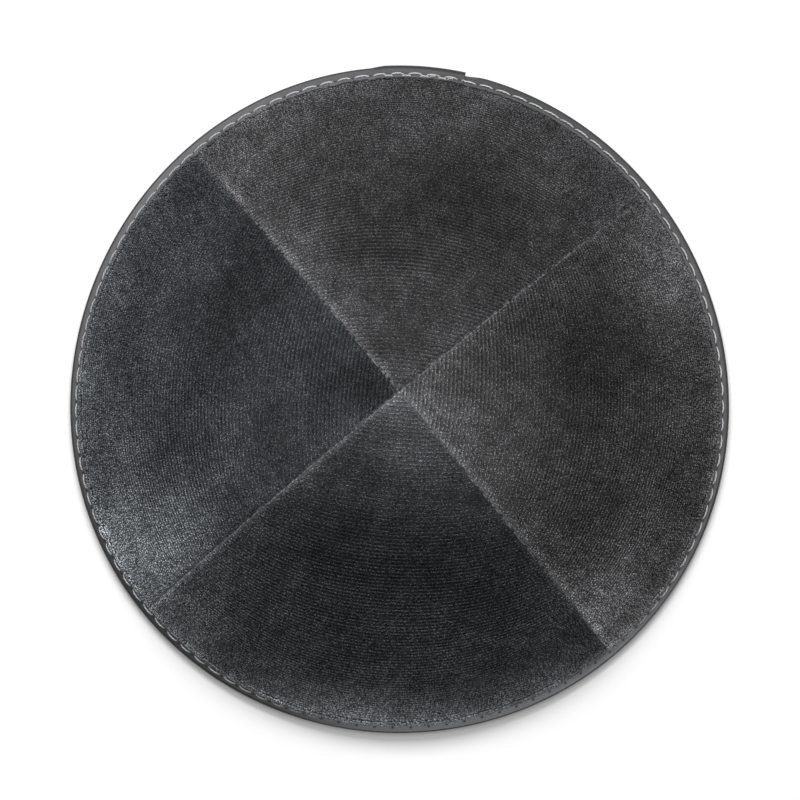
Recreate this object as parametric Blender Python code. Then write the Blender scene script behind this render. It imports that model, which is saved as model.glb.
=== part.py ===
"""Four-panel velvet skullcap with a bound rim, resting rim down.

Units are metres, +Z up. The origin is the centre of the rim, on the surface that the cap rests on.
The front panel faces -Y and the four seams run along the diagonals, up to the apex.
"""

import math
from collections import namedtuple

import bmesh
import bpy
from mathutils import Vector

# Velvet cap
SKIN_DIAMETER = 0.1645  # across the outer skin at its lower edge, before the small waves below
SKIN_RISE = 0.0488  # apex above the outer skin's lower edge
WALL_THICKNESS = 0.002  # velvet with its stiff backing
PANEL_FLATTENING = 0.25  # 0 is a slice of a ball, 1 is straight across each panel near the apex
SEAM_CLEARANCE = 0.0003

# Folded strip that binds the lower edge
BINDING_CLEARANCE = 0.0003
BINDING_THICKNESS = 0.0008
BINDING_OUTSIDE = 0.0045  # up the outer skin
BINDING_INSIDE = 0.006  # up the inner skin
LAP_THICKNESS = 0.0006  # of each layer where the strip's tail lies over its start
LAP_LENGTH = 0.019
LAP_RAMP = 0.005  # length in which the strip climbs onto its own start
LAP_END_DEG = 83.9  # azimuth of the tail's cut end
REST_FLAT_DEG = 22.5  # half the angle of the fold that the resting cap presses flat

# Mesh fineness
PANEL_COLUMNS = 20
RINGS = 18
MAIN_STATIONS = 72
LAP_STATIONS = 6
RAMP_STATIONS = 4
SHARP_ANGLE = math.radians(40)

Panel = namedtuple("Panel", "node azimuth_deg colour roughness")
PANELS = (
    Panel(node="panel_front", azimuth_deg=-90, colour=(0.020, 0.021, 0.024, 1), roughness=0.92),
    Panel(node="panel_right", azimuth_deg=0, colour=(0.046, 0.047, 0.049, 1), roughness=0.90),
    Panel(node="panel_back", azimuth_deg=90, colour=(0.060, 0.060, 0.061, 1), roughness=0.90),
    Panel(node="panel_left", azimuth_deg=180, colour=(0.027, 0.032, 0.035, 1), roughness=0.92),
)
BINDING_COLOUR = (0.085, 0.086, 0.089, 1)
BINDING_ROUGHNESS = 0.62

# The rim isn't quite round: share is of the radius, outwards at the peak
OutlineWave = namedtuple("OutlineWave", "waves share peak_deg")
OUTLINE_WAVES = (
    OutlineWave(waves=2, share=0.0061, peak_deg=94.7),
    OutlineWave(waves=3, share=0.0051, peak_deg=96.4),
)

# Soft hollows in the panels. out, across and along are shares of the skin's radius, seen from
# above, and depth is a share of its rise.
Hollow = namedtuple("Hollow", "azimuth_deg out across along depth")
HOLLOWS = (
    Hollow(azimuth_deg=192, out=0.12, across=0.08, along=0.11, depth=0.014),
    Hollow(azimuth_deg=73, out=0.62, across=0.22, along=0.12, depth=0.018),
    Hollow(azimuth_deg=-27, out=0.70, across=0.20, along=0.07, depth=0.016),
    Hollow(azimuth_deg=11, out=0.74, across=0.17, along=0.06, depth=0.014),
    Hollow(azimuth_deg=-85, out=0.60, across=0.26, along=0.13, depth=0.016),
    Hollow(azimuth_deg=152, out=0.58, across=0.24, along=0.10, depth=0.014),
)

# Sizes that follow from the ones above
SKIN_RADIUS = SKIN_DIAMETER / 2
BALL_RADIUS = (SKIN_RADIUS**2 + SKIN_RISE**2) / (2 * SKIN_RISE)
RIM_POLAR_ANGLE = math.asin(SKIN_RADIUS / BALL_RADIUS)
HALF_PANEL = math.pi / len(PANELS)
REST_FLAT = math.radians(REST_FLAT_DEG)
FOLD_INSIDE = WALL_THICKNESS / 2 + BINDING_CLEARANCE
LAP_LIFT = LAP_THICKNESS + BINDING_CLEARANCE
TAIL_OUTSIDE = FOLD_INSIDE + LAP_LIFT + LAP_THICKNESS
EDGE_HEIGHT = TAIL_OUTSIDE * math.cos(REST_FLAT) + WALL_THICKNESS / 2 * math.cos(RIM_POLAR_ANGLE)


def remove_scene_objects():
    """Clears what the scene starts with."""
    for scene_object in list(bpy.data.objects):
        bpy.data.objects.remove(scene_object, do_unlink=True)


def new_collection(name):
    """A collection linked to the scene."""
    collection = bpy.data.collections.new(name)
    bpy.context.scene.collection.children.link(collection)
    return collection


def cloth_material(name, colour, roughness):
    """A Principled material of one colour, with no metal in it."""
    material = bpy.data.materials.new(name)
    material.use_nodes = True
    shader = material.node_tree.nodes["Principled BSDF"]
    shader.inputs["Base Color"].default_value = colour
    shader.inputs["Roughness"].default_value = roughness
    shader.inputs["Metallic"].default_value = 0.0
    material.diffuse_color = colour
    return material


def rim_radius(azimuth):
    """Radius of the outer skin's lower edge."""
    swing = sum(
        wave.share * math.cos(wave.waves * (azimuth - math.radians(wave.peak_deg)))
        for wave in OUTLINE_WAVES
    )
    return SKIN_RADIUS * (1 + swing)


def hollow_depth(azimuth, share):
    """How far the soft hollows push the skin in, fading out before the rim."""
    depth = 0.0
    for hollow in HOLLOWS:
        turn = azimuth - math.radians(hollow.azimuth_deg)
        across = share * math.sin(turn) / hollow.across
        along = (share * math.cos(turn) - hollow.out) / hollow.along
        depth += hollow.depth * SKIN_RISE * math.exp(-across**2 - along**2)
    return depth * (1 - share**4)


def skin_point(azimuth, share):
    """A point of the outer skin, share of the way from the apex to the rim as seen from above.

    The skin is a slice of a ball, lowered between the seams so that each panel is flatter
    across than the ball and the seams stand as soft ridges. Both fade out at the rim.
    """
    off_centre = (azimuth + HALF_PANEL) % (2 * HALF_PANEL) - HALF_PANEL
    widening = math.cos(off_centre) / math.cos(HALF_PANEL) - 1
    flat_share = share * (1 + PANEL_FLATTENING * (1 - share**2) ** 2 * widening)
    polar = math.asin(flat_share * SKIN_RADIUS / BALL_RADIUS)
    radius = rim_radius(azimuth) * share
    height = EDGE_HEIGHT + BALL_RADIUS * (math.cos(polar) - math.cos(RIM_POLAR_ANGLE))
    depth = hollow_depth(azimuth, share)
    radius -= depth * math.sin(polar)
    height -= depth * math.cos(polar)
    return Vector((radius * math.cos(azimuth), radius * math.sin(azimuth), height))


def skin_frame(azimuth, share):
    """A point of the outer skin, the way out from it, and the way down along it."""
    step = 1e-4
    point = skin_point(azimuth, share)
    down = (point - skin_point(azimuth, share - step)).normalized()
    round_rim = (skin_point(azimuth + step, share) - skin_point(azimuth - step, share)).normalized()
    return point, down.cross(round_rim).normalized(), down


def panel_skin(panel):
    """The panel's outer skin as an open grid, set back from its two seams.

    The set-back is the same length all the way up, so the panel ends in a point just short of
    the apex. Its rings are evenly spaced down the slope.
    """
    builder = bmesh.new()
    bmesh.ops.create_grid(builder, x_segments=PANEL_COLUMNS, y_segments=RINGS, size=1)
    tip_radius = SEAM_CLEARANCE / 2 / math.sin(HALF_PANEL)
    tip_polar = math.asin(tip_radius / BALL_RADIUS)
    for vertex in builder.verts:
        polar = tip_polar + (RIM_POLAR_ANGLE - tip_polar) * (vertex.co.y + 1) / 2
        radius = BALL_RADIUS * math.sin(polar)
        half_width = HALF_PANEL - math.asin(min(SEAM_CLEARANCE / 2 / radius, math.sin(HALF_PANEL)))
        azimuth = math.radians(panel.azimuth_deg) + vertex.co.x * half_width
        vertex.co = skin_point(azimuth, radius / SKIN_RADIUS)
    bmesh.ops.remove_doubles(builder, verts=builder.verts[:], dist=1e-6)
    return builder


def make_panel(panel, collection):
    """One velvet gore: its outer skin, given a wall towards the middle of the ball."""
    builder = panel_skin(panel)
    ball_centre = Vector((0, 0, EDGE_HEIGHT - BALL_RADIUS * math.cos(RIM_POLAR_ANGLE)))
    wall = bmesh.ops.extrude_face_region(builder, geom=builder.faces[:], use_keep_orig=True)
    for vertex in wall["geom"]:
        if isinstance(vertex, bmesh.types.BMVert):
            vertex.co -= (vertex.co - ball_centre).normalized() * WALL_THICKNESS
    bmesh.ops.recalc_face_normals(builder, faces=builder.faces[:])
    mesh = bpy.data.meshes.new(panel.node)
    builder.to_mesh(mesh)
    builder.free()
    mesh.shade_smooth()
    mesh.set_sharp_from_angle(angle=SHARP_ANGLE)
    mesh.materials.append(cloth_material(panel.node, panel.colour, panel.roughness))
    gore = bpy.data.objects.new(panel.node, mesh)
    collection.objects.link(gore)
    return gore


def smooth_step(value):
    """0 to 1 with level ends."""
    value = min(max(value, 0.0), 1.0)
    return value * value * (3 - 2 * value)


def strip_layout(along):
    """How the strip lies at a length along it: lift off the skin, thickness, share of full drop.

    The strip starts under its own tail, snug against the edge. Past the tail's end it drops onto
    the surface that the cap rests on, and after a full turn it climbs over its start.
    """
    turn = 2 * math.pi * SKIN_RADIUS
    leaving = smooth_step((along - LAP_LENGTH - BINDING_CLEARANCE) / LAP_RAMP)
    climbing = smooth_step((along - turn + BINDING_CLEARANCE + LAP_RAMP) / LAP_RAMP)
    lift = LAP_LIFT * climbing
    spread = leaving * (1 - climbing)
    thickness = LAP_THICKNESS + (BINDING_THICKNESS - LAP_THICKNESS) * spread
    return lift, thickness, leaving


def strip_section(azimuth, lift, thickness, drop_share):
    """Points round the strip's section at one azimuth: its outer side, then back inside the fold.

    Each point of the outer side has one of the inner side across from it, in reverse order.
    """
    edge, outward, down = skin_frame(azimuth, 1)
    share_step = 0.01
    slope_length = (edge - skin_point(azimuth, 1 - share_step)).length / share_step
    wall_centre = edge - outward * WALL_THICKNESS / 2
    inside = FOLD_INSIDE + lift
    outside = inside + thickness
    resting_height = outside * math.cos(REST_FLAT)
    drop = drop_share * (wall_centre.z - resting_height) / -down.z
    centre = wall_centre + down * drop

    level = Vector((outward.x, outward.y, 0)).normalized()
    start = math.atan2(outward.dot(level), -outward.z)
    end = start - math.pi
    fold_angles = (start, start * 0.7, start * 0.4, REST_FLAT, -REST_FLAT, end)

    def on_skin(up, offset):
        """A point this far up the slope and this far out from the wall's middle."""
        point, normal, _ = skin_frame(azimuth, 1 - up / slope_length)
        return point + normal * (offset - WALL_THICKNESS / 2)

    def side(offset):
        """Points down the skin, round under its edge and up the other side."""
        points = [on_skin(BINDING_OUTSIDE, offset), on_skin(BINDING_OUTSIDE / 2, offset)]
        for angle in fold_angles:
            turned = level * math.sin(angle) - Vector((0, 0, math.cos(angle)))
            points.append(centre + offset * turned)
        points += [on_skin(BINDING_INSIDE / 2, -offset), on_skin(BINDING_INSIDE, -offset)]
        return points

    return side(outside) + side(inside)[::-1]


def strip_stations():
    """Lengths along the strip at which its section is set, closer together at the lap."""
    turn = 2 * math.pi * SKIN_RADIUS
    marks = (
        (0, LAP_LENGTH + BINDING_CLEARANCE, LAP_STATIONS),
        (LAP_LENGTH + BINDING_CLEARANCE, LAP_LENGTH + BINDING_CLEARANCE + LAP_RAMP, RAMP_STATIONS),
        (LAP_LENGTH + BINDING_CLEARANCE + LAP_RAMP, turn - LAP_RAMP - BINDING_CLEARANCE, MAIN_STATIONS),
        (turn - LAP_RAMP - BINDING_CLEARANCE, turn - BINDING_CLEARANCE, RAMP_STATIONS),
        (turn - BINDING_CLEARANCE, turn + LAP_LENGTH, LAP_STATIONS),
    )
    lengths = [0.0]
    for first, last, count in marks:
        lengths += [first + (last - first) * (step + 1) / count for step in range(count)]
    return lengths


def make_binding(collection):
    """The strip folded over the lower edge, as one loft whose tail lies over its start."""
    start_azimuth = math.radians(LAP_END_DEG) + LAP_LENGTH / SKIN_RADIUS
    builder = bmesh.new()
    loops = []
    for along in strip_stations():
        azimuth = start_azimuth - along / SKIN_RADIUS
        section = strip_section(azimuth, *strip_layout(along))
        loops.append([builder.verts.new(point) for point in section])
    count = len(loops[0])
    for loop, following in zip(loops, loops[1:]):
        for index in range(count):
            after = (index + 1) % count
            builder.faces.new((loop[index], loop[after], following[after], following[index]))
    for loop in (loops[0], loops[-1]):
        for index in range(count // 2 - 1):
            across = count - 1 - index
            builder.faces.new((loop[index], loop[index + 1], loop[across - 1], loop[across]))
    bmesh.ops.recalc_face_normals(builder, faces=builder.faces[:])
    mesh = bpy.data.meshes.new("rim_binding")
    builder.to_mesh(mesh)
    builder.free()
    mesh.shade_smooth()
    mesh.set_sharp_from_angle(angle=SHARP_ANGLE)
    mesh.materials.append(cloth_material("rim_binding", BINDING_COLOUR, BINDING_ROUGHNESS))
    binding = bpy.data.objects.new("rim_binding", mesh)
    collection.objects.link(binding)
    return binding


def main():
    """Builds the cap."""
    remove_scene_objects()
    cap = new_collection("skullcap")
    for panel in PANELS:
        make_panel(panel, cap)
    make_binding(cap)


main()
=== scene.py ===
"""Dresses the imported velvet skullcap: napped gores, bound rim, topstitching, floor, light and camera."""

import logging
import math
from dataclasses import dataclass
from enum import Enum
from typing import Callable, Sequence, Union

import bmesh
import bpy
import numpy as np
from mathutils import Matrix, Vector


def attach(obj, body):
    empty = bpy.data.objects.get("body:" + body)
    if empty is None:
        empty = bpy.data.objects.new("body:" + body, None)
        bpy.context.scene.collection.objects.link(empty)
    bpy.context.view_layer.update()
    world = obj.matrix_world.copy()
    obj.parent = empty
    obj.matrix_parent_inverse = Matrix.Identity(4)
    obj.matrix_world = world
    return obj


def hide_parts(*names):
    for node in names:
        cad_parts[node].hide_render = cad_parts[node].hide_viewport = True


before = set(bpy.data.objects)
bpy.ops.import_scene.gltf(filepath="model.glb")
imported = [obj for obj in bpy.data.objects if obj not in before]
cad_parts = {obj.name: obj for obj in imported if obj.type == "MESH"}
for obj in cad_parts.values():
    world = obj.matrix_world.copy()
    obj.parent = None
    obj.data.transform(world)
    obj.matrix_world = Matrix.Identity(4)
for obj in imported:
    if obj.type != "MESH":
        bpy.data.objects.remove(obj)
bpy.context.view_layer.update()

LOG = logging.getLogger("skullcap")
Array = np.ndarray
Colour = tuple[float, float, float, float]
Mesh = bpy.types.Mesh
Material = bpy.types.Material
Piece = bpy.types.Object
Socket = bpy.types.NodeSocket
HALF_PANEL = math.pi / 4
SMALL_STEP = 1e-4


class Side(Enum):
    """The four velvet gores, each with the azimuth of its middle in degrees."""

    FRONT = -90
    RIGHT = 0
    BACK = 90
    LEFT = 180

    @property
    def azimuth(self) -> float:
        """The middle of the gore in radians."""
        return math.radians(self.value)

    @property
    def word(self) -> str:
        """The gore's name as the pieces use it."""
        return self.name.lower()


def smooth_step(value: Array) -> Array:
    """0 to 1 with level ends."""
    held = np.clip(value, 0.0, 1.0)
    return held * held * (3 - 2 * held)


def bell(value: Array, middle: Array, width: float) -> Array:
    """1 at the middle, fading to both sides."""
    return np.exp(-(((value - middle) / width) ** 2))


def unit(vectors: Array) -> Array:
    """The same vectors, one metre long."""
    return vectors / np.linalg.norm(vectors, axis=-1, keepdims=True)


def wrapped(angle: Array) -> Array:
    """The same angle between minus and plus half a turn."""
    return (angle + math.pi) % (2 * math.pi) - math.pi


@dataclass(frozen=True)
class OutlineWave:
    """A slow swing of the rim's outline: share of the radius, outwards at the peak."""

    waves: int
    share: float
    peak_deg: float


@dataclass(frozen=True)
class Spot:
    """A soft oval on the cap seen from above, in shares of the skin's radius.

    Its numbers come in the order of its fields: the azimuth and the distance out of its middle, its half
    width across and its half length along that way, and the amount. The amount is a share of the cap's
    rise for a hollow, and stops of painted light and shade for a patch of the nap and of the tape.
    """

    azimuth_deg: float
    out: float
    across: float
    along: float
    amount: float

    def strength(self, azimuth: Array, share: Array) -> Array:
        """The amount at each place, fading as a bell does.

        Args:
            azimuth: Angles round the cap in radians.
            share: Share of the way from the apex to the rim.

        Returns:
            The amount at each place.
        """
        turn = azimuth - math.radians(self.azimuth_deg)
        across = share * np.sin(turn) / self.across
        along = (share * np.cos(turn) - self.out) / self.along
        return self.amount * np.exp(-(across**2) - along**2)


@dataclass(frozen=True)
class Stretch:
    """A stretch of the rim round its middle, which fades out at both ends."""

    middle_deg: float
    spread_deg: float

    def __call__(self, azimuth: Array) -> Array:
        """1 along the stretch and 0 away from it."""
        turn = wrapped(azimuth - math.radians(self.middle_deg)) / math.radians(self.spread_deg)
        return np.exp(-(turn**4))


@dataclass(frozen=True)
class CapForm:
    """The outer skin that every piece is set on, the same as in the part's source."""

    skin_radius: float = 0.08225
    skin_rise: float = 0.0488
    wall: float = 0.002
    flattening: float = 0.25
    edge_height: float = 0.003096
    waves: tuple[OutlineWave, ...] = (
        OutlineWave(waves=2, share=0.0061, peak_deg=94.7),
        OutlineWave(waves=3, share=0.0051, peak_deg=96.4),
    )
    hollows: tuple[Spot, ...] = (
        Spot(192, 0.12, 0.08, 0.11, 0.014),
        Spot(73, 0.62, 0.22, 0.12, 0.018),
        Spot(-27, 0.70, 0.20, 0.07, 0.016),
        Spot(11, 0.74, 0.17, 0.06, 0.014),
        Spot(-85, 0.60, 0.26, 0.13, 0.016),
        Spot(152, 0.58, 0.24, 0.10, 0.014),
    )

    @property
    def ball_radius(self) -> float:
        """Radius of the ball that the skin is a slice of."""
        return (self.skin_radius**2 + self.skin_rise**2) / (2 * self.skin_rise)

    @property
    def rim_polar(self) -> float:
        """Angle at the ball's centre from the apex down to the rim."""
        return math.asin(self.skin_radius / self.ball_radius)

    @property
    def ball_centre(self) -> Array:
        """The ball's centre, below the floor."""
        return np.array((0, 0, self.edge_height - self.ball_radius * math.cos(self.rim_polar)))

    @property
    def slope_length(self) -> float:
        """Length down the slope at the rim for a whole share."""
        return self.skin_radius / math.cos(self.rim_polar)

    def rim_radius(self, azimuth: Array) -> Array:
        """Radius of the skin's lower edge at each azimuth."""
        swing = sum(w.share * np.cos(w.waves * (azimuth - math.radians(w.peak_deg))) for w in self.waves)
        return self.skin_radius * (1 + swing)

    def off_centre(self, azimuth: Array) -> Array:
        """Angle from the middle of the gore that each azimuth is in."""
        return (azimuth + HALF_PANEL) % (2 * HALF_PANEL) - HALF_PANEL

    def point(self, azimuth: Array, share: Array) -> Array:
        """Points of the outer skin.

        Args:
            azimuth: Angles round the cap in radians.
            share: Share of the way from the apex to the rim, as seen from above.

        Returns:
            Points in metres, one row of three each.
        """
        widening = np.cos(self.off_centre(azimuth)) / math.cos(HALF_PANEL) - 1
        flat_share = share * (1 + self.flattening * (1 - share**2) ** 2 * widening)
        polar = np.arcsin(np.clip(flat_share * self.skin_radius / self.ball_radius, -1, 1))
        depth = sum(hollow.strength(azimuth, share) for hollow in self.hollows)
        depth = depth * self.skin_rise * (1 - share**4)
        radius = self.rim_radius(azimuth) * share - depth * np.sin(polar)
        height = self.ball_centre[2] + self.ball_radius * np.cos(polar) - depth * np.cos(polar)
        return np.stack((radius * np.cos(azimuth), radius * np.sin(azimuth), height), axis=-1)

    def frame(self, azimuth: Array, share: Array) -> tuple[Array, Array, Array]:
        """Points of the skin with their own directions.

        Args:
            azimuth: Angles round the cap in radians.
            share: Share of the way from the apex to the rim.

        Returns:
            The points, the way out from the skin, and the way down along it.
        """
        here = self.point(azimuth, share)
        down = unit(here - self.point(azimuth, share - SMALL_STEP))
        around = unit(self.point(azimuth + SMALL_STEP, share) - self.point(azimuth - SMALL_STEP, share))
        return here, unit(np.cross(down, around)), down


@dataclass(frozen=True)
class StitchRhythm:
    """The even walk of the needle round the rim, which binding, thread and velvet all follow.

    The binding sits lower along low. The nap stops at its edge where it is bare, and elsewhere has closed
    over it down to the thread. The stitches run into one line where they are stretched, at the upper
    right, and are drawn straight and are darker at the upper left. A gap shows along them at slits, with
    painted shade in it on the tape.
    """

    count: int = 114
    first_deg: float = 84.6
    above_edge: float = 0.0028
    tuck: float = 0.0018
    stretched_drop: float = 0.0004
    low: Stretch = Stretch(middle_deg=271, spread_deg=107)
    bare: Stretch = Stretch(middle_deg=75, spread_deg=66)
    stretched: Stretch = Stretch(middle_deg=64, spread_deg=17)
    drawn: Stretch = Stretch(middle_deg=163, spread_deg=36)
    slits: tuple[Stretch, ...] = (
        Stretch(middle_deg=38, spread_deg=46),
        Stretch(middle_deg=234, spread_deg=24),
    )

    @property
    def pitch(self) -> float:
        """Angle from one needle hole to the next."""
        return 2 * math.pi / self.count

    def phase(self, azimuth: Array) -> Array:
        """How many stitches lie between the first hole and each azimuth."""
        return (azimuth - math.radians(self.first_deg)) / self.pitch

    def between_holes(self, azimuth: Array) -> Array:
        """0 at each needle hole and 1 halfway between two."""
        return np.abs(np.sin(math.pi * self.phase(azimuth)))

    def tucked(self, azimuth: Array) -> Array:
        """How much lower the binding sits at the left and all along the front."""
        return self.tuck * self.low(azimuth)

    def line(self, azimuth: Array) -> Array:
        """How far up the slope the needle goes in."""
        return self.above_edge - self.tucked(azimuth) - self.stretched_drop * self.stretched(azimuth)

    def slit(self, azimuth: Array) -> Array:
        """1 where a gap, with painted shade in it, shows along the thread."""
        return sum(part(azimuth) for part in self.slits)


def math_method(operation: str, swapped: bool = False) -> Callable[..., "Signal"]:
    """A method of Signal that adds one Math node.

    Args:
        operation: The Math node's operation.
        swapped: Whether the other value comes first.

    Returns:
        The method.
    """

    def method(signal: "Signal", other: "Operand" = 0.0) -> "Signal":
        """The node's result.

        Args:
            signal: The value that the method is called on.
            other: The second value, which some operations don't use.

        Returns:
            The result.
        """
        first, second = (other, signal) if swapped else (signal, other)
        node = signal.bench.node("ShaderNodeMath", {"operation": operation}, {0: first, 1: second})
        return Signal(signal.bench, node.outputs[0])

    return method


class Signal:
    """A socket's value in a material, so that shader maths reads as an expression."""

    __add__ = math_method("ADD")
    __radd__ = math_method("ADD", swapped=True)
    __sub__ = math_method("SUBTRACT")
    __rsub__ = math_method("SUBTRACT", swapped=True)
    __mul__ = math_method("MULTIPLY")
    __truediv__ = math_method("DIVIDE")
    __pow__ = math_method("POWER")
    sine = math_method("SINE")
    size = math_method("ABSOLUTE")
    nearest = math_method("ROUND")
    at_most = math_method("MINIMUM")
    at_least = math_method("MAXIMUM")

    def __init__(self, bench: "NodeBench", socket: Socket) -> None:
        """Keeps the socket and the bench that it is on."""
        self.bench = bench
        self.socket = socket

    def held(self) -> "Signal":
        """This kept between 0 and 1."""
        return self.at_most(1.0).at_least(0.0)


Operand = Union[Signal, float]


class NodeBench:
    """A new material and the few ways in which its nodes are made."""

    def __init__(self, name: str) -> None:
        """Starts a material with its Principled shader.

        Args:
            name: The material's name.
        """
        self.material = bpy.data.materials.new(name)
        self.material.use_nodes = True
        self.tree = self.material.node_tree
        self.shader = self.tree.nodes["Principled BSDF"]

    def node(self, kind: str, settings: dict[str, object], values: dict) -> bpy.types.Node:
        """Adds one node.

        Args:
            kind: The node's type.
            settings: Its own settings, such as an operation.
            values: A number, colour or link for each named or numbered socket.

        Returns:
            The node.
        """
        made = self.tree.nodes.new(kind)
        for key, value in settings.items():
            setattr(made, key, value)
        self.fill(made, values)
        return made

    def fill(self, node: bpy.types.Node, values: dict) -> None:
        """Sets or links a node's sockets.

        Args:
            node: The node.
            values: A number, colour or link for each named or numbered socket.
        """
        for key, value in values.items():
            if isinstance(value, Signal):
                value = value.socket
            if isinstance(value, Socket):
                self.tree.links.new(value, node.inputs[key])
            else:
                node.inputs[key].default_value = value

    def attribute(self, name: str) -> Signal:
        """The value that a mesh attribute has at the surface."""
        node = self.node("ShaderNodeAttribute", {"attribute_name": name}, {})
        return Signal(self, node.outputs["Fac"])

    def uv_place(self, name: str, scale: Sequence[float]) -> Socket:
        """A UV map's coordinates, times a scale."""
        place = self.node("ShaderNodeUVMap", {"uv_map": name}, {}).outputs[0]
        return self.node("ShaderNodeMapping", {}, {"Vector": place, "Scale": scale}).outputs[0]

    def parts(self, vector: Socket) -> tuple[Signal, Signal]:
        """The first two numbers of a vector."""
        node = self.node("ShaderNodeSeparateXYZ", {}, {0: vector})
        return Signal(self, node.outputs[0]), Signal(self, node.outputs[1])

    def noise(self, vector: Socket, scale: float, detail: float) -> Signal:
        """Soft noise round a half.

        Args:
            vector: Where it is read.
            scale: How fine it is.
            detail: How many finer layers it has.

        Returns:
            The noise.
        """
        values = {"Vector": vector, "Scale": scale, "Detail": detail}
        return Signal(self, self.node("ShaderNodeTexNoise", {}, values).outputs["Fac"])

    def grain(self, scale: float, detail: float) -> Signal:
        """Noise in the object's own coordinates."""
        return self.noise(self.node("ShaderNodeTexCoord", {}, {}).outputs["Object"], scale, detail)

    def mixed(self, share: Operand, first: object, second: object) -> Socket:
        """A colour between two others."""
        node = self.node("ShaderNodeMix", {"data_type": "RGBA"}, {0: share, 6: first, 7: second})
        return node.outputs[2]

    def lit(self, colour: Socket, by: Operand) -> Socket:
        """A colour made brighter or darker by a factor."""
        node = self.node("ShaderNodeVectorMath", {"operation": "SCALE"}, {0: colour, "Scale": by})
        return node.outputs[0]

    def bumped(self, height: Signal, depth: float, strength: float = 1.0) -> Socket:
        """A normal that leans as the height rises and falls, depth in metres."""
        values = {"Height": height, "Distance": depth, "Strength": strength}
        return self.node("ShaderNodeBump", {}, values).outputs[0]

    def finished(self, values: dict) -> Material:
        """The material, with these values on the shader's sockets."""
        self.fill(self.shader, values)
        return self.material


@dataclass(frozen=True)
class Clouds:
    """Cloudy rubbing of one size: its waves' length in shares of the radius, and its stops of light."""

    size: float
    stops: float


@dataclass(frozen=True)
class VelvetFinish:
    """Cut velvet of one gore: its darkest colour, also painted shade between the fibres, its lightest on the
    fibres' painted-lit tips, and painted light and shade where the nap shows lighter and darker.
    """

    side: Side
    deep: Colour
    tip: Colour
    patches: tuple[Spot, ...] = ()
    # Stops of painted light along each of the gore's two seams.
    seams: tuple[float, float] = (0.0, 0.0)
    seam_reach: float = 0.020
    clouds: tuple[Clouds, ...] = (Clouds(0.30, 0.12), Clouds(0.13, 0.10), Clouds(0.055, 0.10))
    cloud_waves: int = 9
    seed: int = 3

    def mottle(self, azimuth: Array, share: Array) -> Array:
        """Cloudy rubbing of the nap, in stops, from slow waves that cross in all directions.

        Args:
            azimuth: Angles round the cap in radians.
            share: Share of the way from the apex to the rim.

        Returns:
            Stops of light.
        """
        random = np.random.default_rng(self.seed + 360 + self.side.value)
        total = np.zeros_like(share)
        for cloud in self.clouds:
            for _ in range(self.cloud_waves):
                way, start = random.uniform(0, 2 * math.pi, 2)
                reach = share * np.cos(azimuth - way) / (cloud.size * random.uniform(0.7, 1.4))
                total = total + cloud.stops / 2 * np.cos(2 * math.pi * reach + start)
        return total

    def painted_light_and_mottle(self, azimuth: Array, share: Array) -> Array:
        """How many times brighter the nap is painted at each place: painted light and shade in patches and
        beside a seam, times the cloudy mottle.

        Args:
            azimuth: Angles round the cap in radians.
            share: Share of the way from the apex to the rim.

        Returns:
            A factor for each place.
        """
        # Painted light and shade: the patches and the bands beside the seams make the nap lighter and darker.
        stops = sum((spot.strength(azimuth, share) for spot in self.patches), np.zeros_like(share))
        for turn, gain in zip((-math.pi / 4, math.pi / 4), self.seams):
            off = wrapped(azimuth - self.side.azimuth - turn) * share
            stops = stops + gain * bell(off, 0, self.seam_reach)
        return 2.0 ** (stops + self.mottle(azimuth, share))

    def pile(self) -> Material:
        """The fibres: each tuft has its own tone, darker at its root as painted shade, with finer flecks in
        it.

        Returns:
            The material.
        """
        bench = NodeBench(f"velvet pile {self.side.word}")
        fleck = bench.grain(2600, 2)
        shade = (bench.attribute("tone") + (fleck - 0.5) * (2.0 - bench.attribute("calm"))).held()
        # The fibres' colour is lit and darkened by the nap's painted light and shade.
        colour = bench.lit(bench.mixed(shade, self.deep, self.tip), bench.attribute("painted_light_and_mottle"))
        values = {"Base Color": colour, "Roughness": 0.85, "Specular IOR Level": 0.05}
        values |= {"Sheen Weight": 0.02, "Sheen Roughness": 0.45}
        values["Normal"] = bench.bumped(fleck, 0.0001, 0.5)
        return bench.finished(values)

    def ground(self) -> Material:
        """The cloth that the fibres stand on, darkened as painted shade between them, and a painted highlight
        along the folded edge of a seam.

        Returns:
            The material.
        """
        bench = NodeBench(f"velvet ground {self.side.word}")
        _, along = bench.parts(bench.uv_place("weave", (1000, 1000, 1)))
        rib = (along * (2 * math.pi)).sine() * 0.5 + 0.5
        dash = bench.noise(bench.uv_place("weave", (900, 1900, 1)), 1.0, 3)
        shade = (rib * 0.3 + dash * 0.7).held()
        # Painted highlight: a broken light line along the seam's folded edge.
        fold = bench.attribute("fold")
        knot = bench.grain(1300, 2)
        edge = (fold * (knot * 7 - 3)).held()
        # Painted shade: the ground between the fibres is darker, 0.35 of the nap's light.
        colour = bench.lit(bench.mixed(shade, self.deep, self.tip), bench.attribute("painted_light_and_mottle") * 0.35)
        colour = bench.mixed(edge, colour, (0.19, 0.195, 0.20, 1))
        values = {"Base Color": colour, "Roughness": 0.9, "Specular IOR Level": 0.05}
        values["Normal"] = bench.bumped(shade, 0.0002, 0.8)
        return bench.finished(values)


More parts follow.
